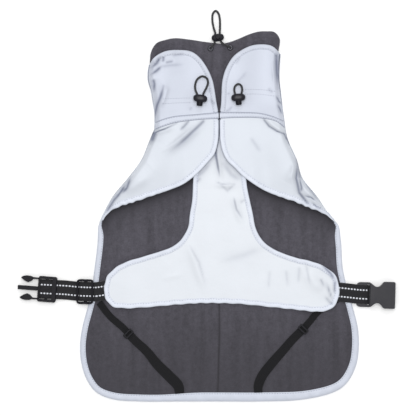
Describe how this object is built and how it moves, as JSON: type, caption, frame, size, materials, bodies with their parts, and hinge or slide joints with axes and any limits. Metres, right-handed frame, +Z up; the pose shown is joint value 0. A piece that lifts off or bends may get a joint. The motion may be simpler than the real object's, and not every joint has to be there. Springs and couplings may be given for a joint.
{
  "type": "dog raincoat",
  "caption": "Dog raincoat laid out flat, belly side up: reflective shell, fleece lining, tall drawcord collar, chest and belly panel, buckled girth strap and leg elastics.",
  "frame": {"origin": "on the surface that the coat lies on, under the middle of its outline", "axes": "+X to the right across the coat as it lies, towards the buckle's socket half; +Y from the hem towards the collar; +Z up, out of the belly side"},
  "size_m": [0.4912, 0.5101, 0.0214],
  "materials": {
    "reflective_cloth": "silver retroreflective coated cloth, satin",
    "fleece": "charcoal brushed fleece",
    "binding_tape": "silver coated tape, satin",
    "webbing": "black woven webbing with two reflective dashed stripes",
    "elastic": "black knitted elastic",
    "moulded_plastic": "black moulded acetal, fine satin",
    "eyelet_metal": "nickel-plated, rolled edge",
    "cord": "black braided elastic cord"
  },
  "bodies": {
    "coat": {"back_shell": "reflective_cloth", "collar_back_shell": "reflective_cloth", "collar_front_left": "reflective_cloth", "collar_front_right": "reflective_cloth", "front_left": "reflective_cloth", "front_right": "reflective_cloth", "chest_panel": "reflective_cloth", "lining_left": "fleece", "lining_right": "fleece", "collar_back_lining": "fleece", "hem_binding": "binding_tape", "collar_binding_left": "binding_tape", "collar_binding_right": "binding_tape", "neck_band_left": "binding_tape", "neck_band_right": "binding_tape", "front_binding_left": "binding_tape", "front_binding_right": "binding_tape", "chest_binding": "binding_tape", "webbing_left": "webbing", "webbing_right": "webbing", "leg_elastic_left": "elastic", "leg_elastic_right": "elastic", "strap_slider": "moulded_plastic", "buckle_male": "moulded_plastic", "buckle_female": "moulded_plastic", "leg_slider_left": "moulded_plastic", "leg_slider_right": "moulded_plastic", "cord_lock_left": "moulded_plastic", "cord_lock_right": "moulded_plastic", "cord_lock_top": "moulded_plastic", "eyelet_left": "eyelet_metal", "eyelet_right": "eyelet_metal", "cord_left_loop": "cord", "cord_right_loop": "cord", "cord_top_loop": "cord", "cord_top_leg_left": "cord", "cord_top_leg_right": "cord"},
    "plunger_left": {"plunger_left": "moulded_plastic"},
    "plunger_right": {"plunger_right": "moulded_plastic"},
    "plunger_top": {"plunger_top": "moulded_plastic"}
  },
  "joints": [
    {"name": "plunger_left_press", "type": "slide", "parent": "coat", "child": "plunger_left", "axis": [0.1197, 0.9928, 0], "range_m": [0, 0.003], "stiffness_N_per_m": 700},
    {"name": "plunger_right_press", "type": "slide", "parent": "coat", "child": "plunger_right", "axis": [-0.0799, 0.9968, 0], "range_m": [0, 0.003], "stiffness_N_per_m": 700},
    {"name": "plunger_top_press", "type": "slide", "parent": "coat", "child": "plunger_top", "axis": [0, 0, -1], "range_m": [0, 0.003], "stiffness_N_per_m": 700}
  ]
}
